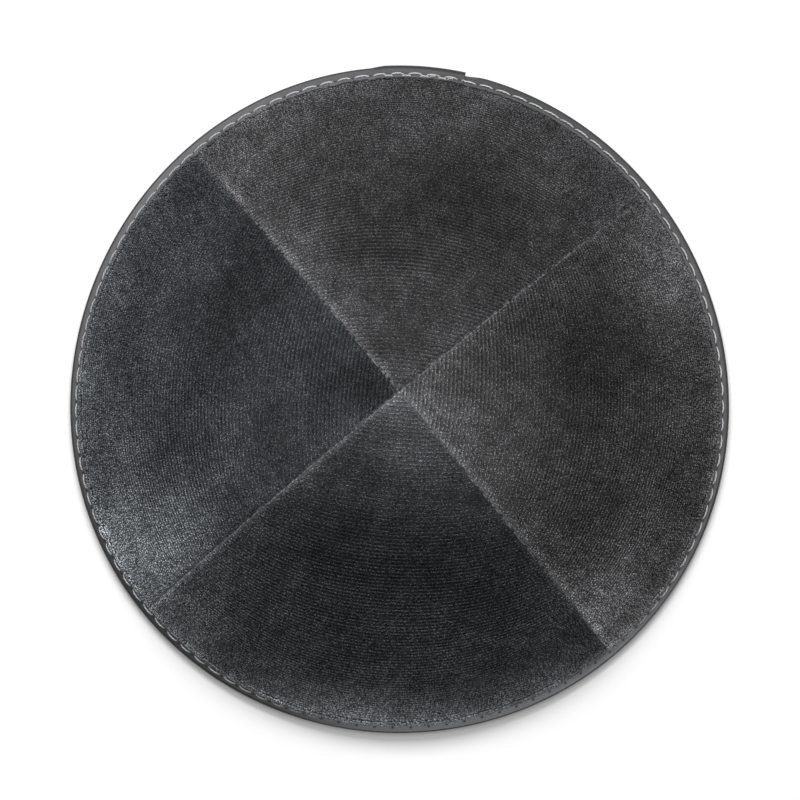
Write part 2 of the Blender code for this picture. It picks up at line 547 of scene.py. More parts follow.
@dataclass(frozen=True)
class BackingFinish:
    """The velvet's plain woven back, which is what shows inside the cap."""

    yarn: Colour = (0.030, 0.031, 0.034, 1)
    gap: Colour = (0.010, 0.010, 0.011, 1)
    threads_per_metre: float = 2200

    def material(self) -> Material:
        """Warp and weft crossing as a fine plain weave, with painted shade in the low gaps between the
        threads.

        Returns:
            The material.
        """
        bench = NodeBench("velvet backing")
        turns = self.threads_per_metre * math.pi
        across, along = bench.parts(bench.uv_place("weave", (turns, turns, 1)))
        weave = across.sine() * along.sine()
        height = weave * weave.size() * 0.5 + 0.5
        wear = bench.grain(60, 4)
        # Painted shade in the low gaps between the threads.
        shade = (height * 0.8 + wear * 0.4 - 0.1).held()
        values = {"Base Color": bench.mixed(shade, self.gap, self.yarn), "Roughness": 0.92}
        values |= {"Specular IOR Level": 0.2, "Normal": bench.bumped(height, 0.00015, 0.7)}
        return bench.finished(values)


@dataclass(frozen=True)
class BindingFinish:
    """Smooth tape with a fine leathery grain, with painted shade where it turns under, in each needle hole
    and in the slit beside the thread, and painted light and shade round the rim.
    """

    face: Colour = (0.105, 0.106, 0.110, 1)
    shade: Colour = (0.055, 0.056, 0.059, 1)
    # The colour of the painted shade in needle holes and in the slit beside the thread.
    hole: Colour = (0.004, 0.004, 0.005, 1)
    # The colour of the painted shade where the tape turns under the rim and inside the cap.
    turned: Colour = (0.006, 0.006, 0.007, 1)
    # Stops of painted light and shade at places round the rim.
    tape_painted_light_and_shade: tuple[Spot, ...] = (
        Spot(76, 1, 0.42, 1, -1.15),
        Spot(42, 1, 0.3, 1, -0.3),
        Spot(145, 1, 0.35, 1, 0.35),
        Spot(222, 1, 0.45, 1, -1.1),
        Spot(298, 1, 0.62, 1, 1.6),
        Spot(272, 1, 0.22, 1, 0.4),
    )

    def material(self) -> Material:
        """Grain in object coordinates; holes and slits, with painted shade in them, from the strip's own map;
        the painted shade of the fold and the painted light and shade round the rim from the strip's values.

        Returns:
            The material.
        """
        bench = NodeBench("binding tape")
        stitches, above = bench.parts(bench.uv_place("strip", (1, 1, 1)))
        grain = bench.grain(1500, 3)
        cloud = bench.grain(130, 3)
        colour = bench.mixed((grain * 0.6 + cloud * 0.6 - 0.1).held(), self.shade, self.face)
        beside = (stitches - stitches.nearest()) * 4.5
        reach = (beside * beside + above * above) ** 0.5
        # Painted shade in each needle hole.
        hole = (1.35 - reach / 0.42).held()
        # Painted shade in the slit beside the thread.
        slit = ((0.34 - (above - 0.52).size()) * 8).held() * bench.attribute("slit")
        groove = slit * ((beside.size() - 0.35) * 2).held()
        edge = bench.attribute("edge")
        turned = bench.attribute("turned")
        # Painted light and shade round the rim, with painted shade where the nap covers the tape above the
        # thread; lighter along the bare upper edge.
        colour = bench.lit(colour, (edge * 0.9 + 1) * bench.attribute("tape_painted_light_and_shade"))
        colour = bench.mixed(groove * 0.85, colour, self.hole)
        colour = bench.mixed(hole, colour, self.hole)
        # Painted shade on the turned-under edge, the fold and the flap inside the cap.
        colour = bench.mixed(turned, colour, self.turned)
        height = grain * 0.35 - hole - groove * 0.6
        values = {"Base Color": colour, "Roughness": 0.48 + grain * 0.22, "Specular IOR Level": 0.4}
        values["Normal"] = bench.bumped(height, 0.0002, 0.7)
        return bench.finished(values)


@dataclass(frozen=True)
class ThreadFinish:
    """Pale two-ply sewing thread with its twist."""

    bright: Colour = (0.60, 0.60, 0.61, 1)
    dark: Colour = (0.15, 0.15, 0.155, 1)
    twist_length: float = 0.0008

    def material(self) -> Material:
        """The plies wind round the thread, with painted shade where they meet.

        Returns:
            The material.
        """
        bench = NodeBench("topstitch thread")
        along, round_it = bench.parts(bench.uv_place("twist", (1, 1, 1)))
        winding = (along * (2 * math.pi / self.twist_length) + round_it * (4 * math.pi)).sine()
        ply = winding * 0.5 + 0.5
        worn = bench.grain(400, 2)
        shade = (ply * 0.7 + worn * 0.8 - 0.15).held()
        # The thread's colour is darkened by its painted shade under the nap.
        colour = bench.lit(bench.mixed(shade, self.dark, self.bright), bench.attribute("sunk"))
        values = {"Base Color": colour, "Roughness": 0.5, "Specular IOR Level": 0.4}
        values |= {"Sheen Weight": 0.2, "Normal": bench.bumped(ply, 0.0001, 0.8)}
        return bench.finished(values)


@dataclass(frozen=True)
class FloorFinish:
    """Pale matt paper."""

    colour: Colour = (0.80, 0.80, 0.80, 1)

    def material(self) -> Material:
        """Faint cloudiness so that the paper isn't one flat colour.

        Returns:
            The material.
        """
        bench = NodeBench("pale paper")
        cloud = bench.grain(9, 3)
        colour = bench.mixed(cloud, self.colour, tuple(0.98 * part for part in self.colour[:3]) + (1,))
        return bench.finished({"Base Color": colour, "Roughness": 0.9, "Specular IOR Level": 0.1})


class Workshop:
    """The ways in which meshes become finished pieces."""

    @staticmethod
    def wall(name: str, columns: int, rows: int,
             place: Callable[[Array, Array, Array], Array]) -> tuple[Mesh, Array]:
        """A closed sheet with two faces, started as a flat grid and extruded.

        Args:
            name: The mesh's name.
            columns: Faces across.
            rows: Faces along.
            place: Gives each point from its grid coordinates and its layer, 0 outside and 1 inside.

        Returns:
            The mesh, with the inner face on the second material, and each point's grid coordinates and
            layer.
        """
        builder = bmesh.new()
        bmesh.ops.create_grid(builder, x_segments=columns, y_segments=rows, size=1)
        grown = bmesh.ops.extrude_face_region(builder, geom=builder.faces[:], use_keep_orig=True)["geom"]
        moved = [part for part in grown if isinstance(part, bmesh.types.BMVert)]
        bmesh.ops.translate(builder, verts=moved, vec=(0, 0, -1))
        for face in builder.faces:
            face.material_index = int(all(vertex.co.z < -0.5 for vertex in face.verts))
        mesh = Workshop.mesh_of(builder, name)
        flat = Workshop.points(mesh) * (1, 1, -1)
        Workshop.set_points(mesh, place(*flat.T))
        return mesh, flat

    @staticmethod
    def mesh_of(builder: bmesh.types.BMesh, name: str) -> Mesh:
        """A mesh of what the builder holds; the builder is freed.

        Args:
            builder: The bmesh that holds the shape.
            name: The mesh's name.

        Returns:
            The mesh.
        """
        mesh = bpy.data.meshes.new(name)
        builder.to_mesh(mesh)
        builder.free()
        return mesh

    @staticmethod
    def added(name: str, data: bpy.types.ID) -> Piece:
        """A new object in the scene.

        Args:
            name: Its name.
            data: Its mesh, light or camera.

        Returns:
            The object.
        """
        made = bpy.data.objects.new(name, data)
        bpy.context.scene.collection.objects.link(made)
        return made

    @staticmethod
    def points(mesh: Mesh) -> Array:
        """The mesh's points, one row of three each.

        Args:
            mesh: The mesh.

        Returns:
            The points in metres.
        """
        flat = np.zeros(len(mesh.vertices) * 3)
        mesh.vertices.foreach_get("co", flat)
        return flat.reshape(-1, 3)

    @staticmethod
    def set_points(mesh: Mesh, points: Array) -> None:
        """Moves the mesh's points."""
        mesh.vertices.foreach_set("co", np.ascontiguousarray(points, dtype=np.float32).ravel())
        mesh.update()

    @staticmethod
    def set_value(mesh: Mesh, name: str, values: Array) -> None:
        """Gives each point a number that materials read."""
        layer = mesh.attributes.new(name, "FLOAT", "POINT")
        layer.data.foreach_set("value", np.ascontiguousarray(values, dtype=np.float32).ravel())

    @staticmethod
    def set_map(mesh: Mesh, name: str, corners: Array) -> None:
        """Adds a UV map from one pair of numbers for each face corner."""
        layer = mesh.uv_layers.new(name=name)
        layer.uv.foreach_set("vector", np.ascontiguousarray(corners, dtype=np.float32).ravel())

    @staticmethod
    def set_point_map(mesh: Mesh, name: str, flat: Array) -> None:
        """Adds a UV map from one pair of numbers for each point.

        Args:
            mesh: The mesh.
            name: The map's name.
            flat: The pairs, one row for each point.
        """
        corner_points = np.zeros(len(mesh.loops), dtype=np.int32)
        mesh.loops.foreach_get("vertex_index", corner_points)
        Workshop.set_map(mesh, name, flat[corner_points])

    @staticmethod
    def tidied(mesh: Mesh) -> None:
        """Merges doubles and then turns the faces outwards.

        Args:
            mesh: The mesh, changed in place.
        """
        builder = bmesh.new()
        builder.from_mesh(mesh)
        bmesh.ops.remove_doubles(builder, verts=builder.verts[:], dist=1e-6)
        bmesh.ops.recalc_face_normals(builder, faces=builder.faces[:])
        builder.to_mesh(mesh)
        builder.free()

    @staticmethod
    def piece(mesh: Mesh, materials: Sequence[Material], slot: str) -> Piece:
        """An object of the mesh that rides on the cap.

        Args:
            mesh: The finished mesh, whose name the piece takes.
            materials: Its materials in order.
            slot: Not used.

        Returns:
            The object.
        """
        for material in materials:
            mesh.materials.append(material)
        made = Workshop.added(mesh.name, mesh)
        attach(made, "root")
        triangles = sum(len(face.vertices) - 2 for face in mesh.polygons)
        LOG.info("%s: %d points, %d triangles", mesh.name, len(mesh.vertices), triangles)
        return made


class SmallShape:
    """A small closed shape that is repeated many times as one joined mesh."""

    def __init__(self, builder: bmesh.types.BMesh) -> None:
        """Reads the shape's points and faces from a bmesh, and frees it.

        Args:
            builder: The bmesh that holds the shape.
        """
        builder.verts.index_update()
        self.points = np.array([vertex.co[:] for vertex in builder.verts])
        self.sides = np.array([len(face.verts) for face in builder.faces], dtype=np.int32)
        self.corners = np.array([v.index for face in builder.faces for v in face.verts], dtype=np.int32)
        builder.free()

    @classmethod
    def tuft(cls) -> "SmallShape":
        """A three-sided spike.

        Returns:
            The shape.
        """
        builder = bmesh.new()
        bmesh.ops.create_cone(builder, cap_ends=True, segments=3, radius1=1, radius2=0, depth=1)
        return cls(builder)

    @classmethod
    def stitch(cls, segments: int = 6, cuts: int = 6) -> "SmallShape":
        """A short tube, cut into rings so that it can bow.

        Args:
            segments: Faces round the tube.
            cuts: Rings between its ends.

        Returns:
            The shape.
        """
        builder = bmesh.new()
        bmesh.ops.create_cone(builder, cap_ends=True, segments=segments, radius1=1, radius2=1, depth=2)
        upright = [edge for edge in builder.edges if abs(edge.verts[0].co.z - edge.verts[1].co.z) > 1]
        bmesh.ops.subdivide_edges(builder, edges=upright, cuts=cuts)
        return cls(builder)

    def wrap(self) -> Array:
        """Each corner's share of a turn round the tube, without a jump inside a face.

        Returns:
            One share for each face corner.
        """
        shares = np.arctan2(self.points[self.corners, 1], self.points[self.corners, 0]) / (2 * math.pi)
        starts = np.concatenate(([0], np.cumsum(self.sides)[:-1]))
        first = np.repeat(shares[starts], self.sides)
        return first + (shares - first + 0.5) % 1.0 - 0.5

    def repeated(self, name: str, placed: Array) -> Mesh:
        """One mesh of all the copies.

        Args:
            name: The mesh's name.
            placed: The points of every copy, shaped copies by points by three.

        Returns:
            The joined mesh.
        """
        copies, size = placed.shape[:2]
        mesh = bpy.data.meshes.new(name)
        mesh.vertices.add(copies * size)
        mesh.loops.add(copies * len(self.corners))
        mesh.polygons.add(copies * len(self.sides))
        corners = self.corners[None, :] + size * np.arange(copies, dtype=np.int32)[:, None]
        sides = np.tile(self.sides, copies)
        starts = np.concatenate(([0], np.cumsum(sides)[:-1])).astype(np.int32)
        mesh.loops.foreach_set("vertex_index", corners.ravel())
        mesh.polygons.foreach_set("loop_start", starts)
        mesh.polygons.foreach_set("loop_total", sides)
        Workshop.set_points(mesh, placed.reshape(-1, 3))
        mesh.validate()
        return mesh


@dataclass(frozen=True)
class VelvetSkin:
    """The velvet's surface over the cap's form: rolled seam edges, and puffs between needle holes."""

    form: CapForm
    rhythm: StitchRhythm
    seam_gap: float = 0.00004
    roll: float = 0.00035
    ridge: float = 0.00015
    ridge_at: float = 0.0013
    ridge_width: float = 0.0007
    puff: float = 0.00035
    puff_at: float = 0.0052
    puff_width: float = 0.0015

    def seam_distance(self, azimuth: Array, share: Array) -> Array:
        """Distance to the nearest seam."""
        off = np.abs(self.form.off_centre(azimuth))
        return self.form.skin_radius * share * np.sin(HALF_PANEL - off)

    def above_edge(self, share: Array) -> Array:
        """Distance up the slope from the skin's lower edge."""
        return (1 - share) * self.form.slope_length

    def lift(self, azimuth: Array, share: Array) -> Array:
        """How far the velvet stands off the plain form.

        Args:
            azimuth: Angles round the cap in radians.
            share: Share of the way from the apex to the rim.

        Returns:
            Metres, negative where the velvet dips into a seam.
        """
        seam = self.seam_distance(azimuth, share)
        inside = self.roll - np.clip(seam, 0, self.roll)
        dip = self.roll - np.sqrt(np.maximum(self.roll**2 - inside**2, 0))
        swell = self.ridge * bell(seam, self.ridge_at, self.ridge_width)
        up = self.above_edge(share) + self.rhythm.tucked(azimuth)
        puff = self.puff * bell(up, self.puff_at, self.puff_width)
        return swell - dip + puff * (self.rhythm.between_holes(azimuth) - 0.4)


@dataclass
class VelvetGore:
    """One gore of velvet cloth: its wall, and the nap of fibres that stands on it.

    The nap starts a little above the needle's line, reaches over the binding's edge where it isn't bare,
    is calmer in tone towards the rim, and has painted highlight near the rim, most on its puffs between
    needle holes, and in a narrow line along the binding.
    """

    skin: VelvetSkin
    finish: VelvetFinish
    columns: int = 110
    rings: int = 96
    row_step: float = 0.0005
    row_bend: float = 4.6
    tuft_step: float = 0.00044
    tuft_length: float = 0.00080
    tuft_width: float = 0.00044
    tuft_height: float = 0.0003
    tuft_lean: float = 0.00010
    tone_middle: float = 0.43
    tone_rows: float = 0.35
    tone_rough: float = 0.37
    tone_cloud: float = 0.03
    sunk: float = 0.00008
    short_at_seam: float = 0.0007
    nap_start: float = 0.0033
    nap_start_bare: float = 0.0011
    nap_start_slit: float = 0.0003
    seam_margin: float = 0.0001
    apex_margin: float = 0.004
    over_binding: float = 0.00050
    over_ends: float = 0.0055
    over_fade: float = 0.0010
    pillow: float = 0.00014
    fold_width: float = 0.00024
    calm_at: float = 0.0047
    calm_width: float = 0.0026
    # Where the painted highlight along the binding lies, and how wide it is.
    glow_at: float = 0.0050
    glow_width: float = 0.0008
    map_scale: tuple[float, float] = (0.79, 0.98)
    map_start: tuple[float, float] = (0.5, 0.01)
    seed: int = 7

    @property
    def side(self) -> Side:
        """Which gore this is."""
        return self.finish.side

    def cloth_place(self, points: Array) -> tuple[Array, Array]:
        """Where points lie on the flat cloth, whose rows bend towards the seams.

        Args:
            points: Points in metres.

        Returns:
            The place along the rows and the place down the gore, in metres.
        """
        form = self.skin.form
        out = np.array((math.cos(self.side.azimuth), math.sin(self.side.azimuth), 0))
        sideways = np.array((-out[1], out[0], 0))
        spread = unit(points - form.ball_centre)
        across = form.ball_radius * np.arcsin(np.clip(spread @ sideways, -1, 1))
        down = form.ball_radius * np.arctan2(spread @ out, spread[..., 2])
        return across, down + self.row_bend * across**2

    def cap_place(self, across: Array, down: Array) -> tuple[Array, Array]:
        """The azimuth and share of places on the flat cloth.

        Args:
            across: The place along the rows.
            down: The place down the gore.

        Returns:
            Angles round the cap, and shares of the way from the apex to the rim.
        """
        form = self.skin.form
        turn, drop = across / form.ball_radius, (down - self.row_bend * across**2) / form.ball_radius
        ahead, beside = np.sin(drop) * np.cos(turn), np.sin(turn)
        share = np.hypot(ahead, beside) * form.ball_radius / form.skin_radius
        return np.arctan2(beside, ahead) + self.side.azimuth, share

    def build_wall(self) -> Piece:
        """The cloth itself, which takes the place of the plain solid.

        Returns:
            The piece.
        """
        form, skin = self.skin.form, self.skin
        tip_radius = skin.seam_gap / 2 / math.sin(HALF_PANEL)
        tip_polar = math.asin(tip_radius / form.ball_radius)

        def place(sideways: Array, down: Array, layer: Array) -> Array:
            """A grid point on the outer or the inner skin.

            Args:
                sideways: Minus 1 to 1 across the gore.
                down: Minus 1 at the apex to 1 at the rim.
                layer: 0 outside and 1 inside.

            Returns:
                Points in metres.
            """
            polar = tip_polar + (form.rim_polar - tip_polar) * (down + 1) / 2
            radius = form.ball_radius * np.sin(polar)
            half = HALF_PANEL - np.arcsin(np.minimum(skin.seam_gap / 2 / radius, math.sin(HALF_PANEL)))
            crowded = sideways * (0.3 + 0.7 * (1.5 - 0.5 * sideways**2))
            azimuth = self.side.azimuth + crowded * half
            share = radius / form.skin_radius
            here, outward, _ = form.frame(azimuth, share)
            outer = here + outward * skin.lift(azimuth, share)[:, None]
            inner = here - unit(here - form.ball_centre) * form.wall
            return np.where(layer[:, None] < 0.5, outer, inner)

        mesh, _ = Workshop.wall(f"velvet_{self.side.word}", self.columns, self.rings, place)
        points = Workshop.points(mesh)
        azimuth = np.arctan2(points[:, 1], points[:, 0])
        share = np.hypot(points[:, 0], points[:, 1]) / form.rim_radius(azimuth)
        # Painted light and shade of the nap's patches and seams, with the cloudy mottle.
        Workshop.set_value(mesh, "painted_light_and_mottle", self.finish.painted_light_and_mottle(azimuth, share))
        seam = skin.seam_distance(azimuth, share)
        # Where the painted highlight along a seam's folded edge goes.
        Workshop.set_value(mesh, "fold", bell(seam, 0, self.fold_width))
        cloth = np.stack(self.cloth_place(points), axis=-1)
        Workshop.set_point_map(mesh, "weave", cloth)
        Workshop.tidied(mesh)
        mesh.shade_smooth()
        mesh.set_sharp_from_angle(angle=math.radians(50))
        made = Workshop.piece(mesh, (self.finish.ground(), BackingFinish().material()), "velvet")
        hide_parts(f"panel_{self.side.word}")
        return made

    def lattice(self) -> tuple[Array, Array, Array]:
        """Where the tufts stand on the flat cloth, and the tone of each.

        Returns:
            The place along the rows, the place down the gore, and a tone from 0 to 1.
        """
        random = np.random.default_rng(self.seed + 400 + self.side.value)
        form = self.skin.form
        reach = form.ball_radius * math.asin(form.skin_radius * math.sin(HALF_PANEL) / form.ball_radius)
        depth = form.ball_radius * form.rim_polar * 1.01 + self.row_bend * reach**2
        rows = np.arange(0, depth, self.row_step)
        places = np.arange(-reach * 1.02, reach * 1.02, self.tuft_step)
        down, across = np.meshgrid(rows, places, indexing="ij")
        even = (np.arange(len(rows)) % 2)[:, None]
        across = across + even * self.tuft_step / 2 + random.uniform(-0.5, 0.5, across.shape) * self.tuft_step
        down = down + random.uniform(-0.3, 0.3, down.shape) * self.row_step
        rough = random.normal(size=down.shape)
        patch = random.normal(size=(len(rows) // 6 + 2, len(places) // 8 + 2))
        cloud = patch[np.arange(len(rows)) // 6][:, np.arange(len(places)) // 8]
        # Painted shade: every other row of tufts is darker, standing in for the shade in the gaps between
        # rows.
        tone = self.tone_middle + self.tone_rows * (2 * even - 1) + self.tone_rough * rough
        tone = tone + self.tone_cloud * cloud
        return across.ravel(), down.ravel(), np.clip(tone, 0, 1.3).ravel()

    def build_pile(self) -> Piece:
        """The nap, as leaning spikes in rows.

        Returns:
            The piece.
        """
        form, skin = self.skin.form, self.skin
        across, down, tone = self.lattice()
        azimuth, share = self.cap_place(across, down)
        seam = skin.seam_distance(azimuth, share)
        up = skin.above_edge(share) + skin.rhythm.tucked(azimuth)
        kept = (np.abs(wrapped(azimuth - self.side.azimuth)) < HALF_PANEL) & (seam > self.seam_margin)
        edge = self.nap_start + self.nap_start_bare * skin.rhythm.bare(azimuth)
        edge = edge + self.nap_start_slit * skin.rhythm.slit(azimuth)
        kept &= (up > edge) & (share > self.apex_margin)
        across, down, tone = across[kept], down[kept], tone[kept]
        azimuth, share, seam, up = azimuth[kept], share[kept], seam[kept], up[kept]

        here = form.point(azimuth, share)
        along_row = unit(form.point(*self.cap_place(across + SMALL_STEP, down)) - here)
        down_gore = unit(form.point(*self.cap_place(across, down + SMALL_STEP)) - here)
        outward = unit(np.cross(down_gore, along_row))
        over = smooth_step((self.over_ends - up) / self.over_fade)
        over = over * (self.over_binding + self.pillow * skin.rhythm.between_holes(azimuth))
        base = here + outward * (np.maximum(skin.lift(azimuth, share), over) - self.sunk)[:, None]

        random = np.random.default_rng(self.seed + 900 + self.side.value)
        count = len(tone)
        grow = 0.45 + 0.55 * smooth_step(seam / self.short_at_seam)
        height = self.tuft_height * grow * (0.95 + 0.1 * tone) * random.uniform(0.7, 1.3, count)
        length = self.tuft_length / 2 * random.uniform(0.6, 1.2, count) * grow
        width = self.tuft_width / 2 * random.uniform(0.75, 1.25, count)
        lean = self.tuft_lean * random.uniform(0.4, 1.6, count)
        sway = self.tuft_lean * random.uniform(-1, 1, count)
        shape = SmallShape.tuft()
        side_x, side_y, rise = shape.points.T
        rise = rise + 0.5
        row_shift = side_x[None] * length[:, None] + rise[None] * sway[:, None]
        gore_shift = side_y[None] * width[:, None] + rise[None] * lean[:, None]
        placed = base[:, None] + along_row[:, None] * row_shift[..., None]
        placed = placed + down_gore[:, None] * gore_shift[..., None]
        placed = placed + outward[:, None] * (rise[None] * height[:, None])[..., None]
        mesh = shape.repeated(f"pile_{self.side.word}", placed)

        size = len(shape.points)
        near_rim = bell(up, self.calm_at, self.calm_width)
        # Painted highlight: the nap is lighter near the rim, more on its puffs between needle holes, and in a
        # narrow line along the binding.
        painted_rim_highlight = bell(up, self.glow_at, self.glow_width) * (1 - skin.rhythm.bare(azimuth))
        painted_puff_light = 1 + near_rim * (0.2 + 0.5 * skin.rhythm.between_holes(azimuth)) + 0.5 * painted_rim_highlight
        painted_light_and_mottle = self.finish.painted_light_and_mottle(azimuth, share) * painted_puff_light
        Workshop.set_value(mesh, "painted_light_and_mottle", np.repeat(painted_light_and_mottle, size))
        Workshop.set_value(mesh, "calm", np.repeat(near_rim, size))
        tone = tone + (0.5 - tone) * 0.6 * near_rim
        # Painted shade: each tuft is darker towards its root, down among the fibres.
        painted_root_shade = 0.55 + 0.45 * rise
        Workshop.set_value(mesh, "tone", tone[:, None] * painted_root_shade[None])
        reach = form.ball_radius * form.rim_polar * 1.02
        flat = np.stack((across[:, None] + row_shift, down[:, None] + gore_shift), axis=-1).reshape(-1, 2)
        flat = flat / reach * np.array(self.map_scale) + np.array(self.map_start)
        Workshop.set_point_map(mesh, "OFBake", flat)
        return Workshop.piece(mesh, (self.finish.pile(),), "velvet")


@dataclass(frozen=True)
class BindingForm:
    """How the strip lies round the rim, with the lap, as in the part's source."""

    form: CapForm
    rhythm: StitchRhythm
    clearance: float = 0.0003
    thickness: float = 0.0008
    outside_reach: float = 0.0045
    inside_reach: float = 0.006
    lap_thickness: float = 0.0006
    lap_length: float = 0.019
    lap_ramp: float = 0.005
    lap_end_deg: float = 83.9
    rest_flat_deg: float = 22.5
    sewn_gap: float = 0.00006
    sewn_thickness: float = 0.0003
    sewn_fullness: float = 0.0001
    sewn_lap: float = 0.00034
    sewn_from: float = 0.0024
    sewn_by: float = 0.0002
    pillow: float = 0.00014

    @property
    def turn(self) -> float:
        """Length of one turn round the rim."""
        return 2 * math.pi * self.form.skin_radius

    @property
    def start_azimuth(self) -> float:
        """Where the strip starts, under its own tail."""
        return math.radians(self.lap_end_deg) + self.lap_length / self.form.skin_radius

    @property
    def fold_inside(self) -> float:
        """From the wall's middle to the strip's inner face."""
        return self.form.wall / 2 + self.clearance

    @property
    def rest_flat(self) -> float:
        """Half the angle of the fold that is pressed flat."""
        return math.radians(self.rest_flat_deg)

    def azimuth(self, along: Array) -> Array:
        """The azimuth at each length along the strip."""
        return self.start_azimuth - along / self.form.skin_radius

    def along(self, azimuth: Array) -> Array:
        """The length along the strip of the top layer at each azimuth."""
        found = (self.start_azimuth - azimuth) % (2 * math.pi) * self.form.skin_radius
        return np.where(found < self.lap_length, found + self.turn, found)

    def layout(self, along: Array) -> tuple[Array, Array, Array, Array]:
        """How the strip lies at each length.

        Args:
            along: Lengths along the strip.

        Returns:
            Its lift off the skin, its thickness, its share of the full drop, and its share of the
            full thickness.
        """
        leaving = smooth_step((along - self.lap_length - self.clearance) / self.lap_ramp)
        climbing = smooth_step((along - self.turn + self.clearance + self.lap_ramp) / self.lap_ramp)
        lift = (self.lap_thickness + self.clearance) * climbing
        spread = leaving * (1 - climbing)
        thickness = self.lap_thickness + (self.thickness - self.lap_thickness) * spread
        return lift, thickness, leaving, spread

    def offsets(self, along: Array, up: Array) -> tuple[Array, Array]:
        """The strip's two faces, from the wall's middle.

        Above the fold the stitches hold the strip down on the velvet, and it pillows between them.

        Args:
            along: Lengths along the strip.
            up: Distances up the slope from the skin's edge.

        Returns:
            The face against the cap and the face that shows.
        """
        lift, thickness, _, spread = self.layout(along)
        azimuth = self.azimuth(along)
        line = self.rhythm.line(azimuth)
        start = np.maximum(line - self.sewn_from, 0)
        sewn = smooth_step((up - start) / (line - self.sewn_by - start))
        low = self.form.wall / 2 + self.sewn_gap
        low = low + self.sewn_lap * lift / (self.lap_thickness + self.clearance)
        high = low + self.sewn_thickness + self.sewn_fullness * spread
        high = high + self.pillow * self.rhythm.between_holes(azimuth)
        inside = self.fold_inside + lift
        return inside + (low - inside) * sewn, inside + thickness + (high - inside - thickness) * sewn

    def surface(self, azimuth: Array, up: Array, inner: bool = False) -> tuple[Array, Array, Array]:
        """The strip's shown face above the fold.

        Args:
            azimuth: Angles round the cap.
            up: Distances up the slope.
            inner: Whether it is the flap inside the cap.

        Returns:
            The points, the way out from the face, and the way down along it.
        """
        share = 1 - up / self.form.slope_length
        here, outward, down = self.form.frame(azimuth, share)
        offset = self.offsets(self.along(azimuth), up)[1][..., None]
        middle = here - outward * self.form.wall / 2
        if inner:
            outward = -outward
        return middle + outward * offset, outward, down


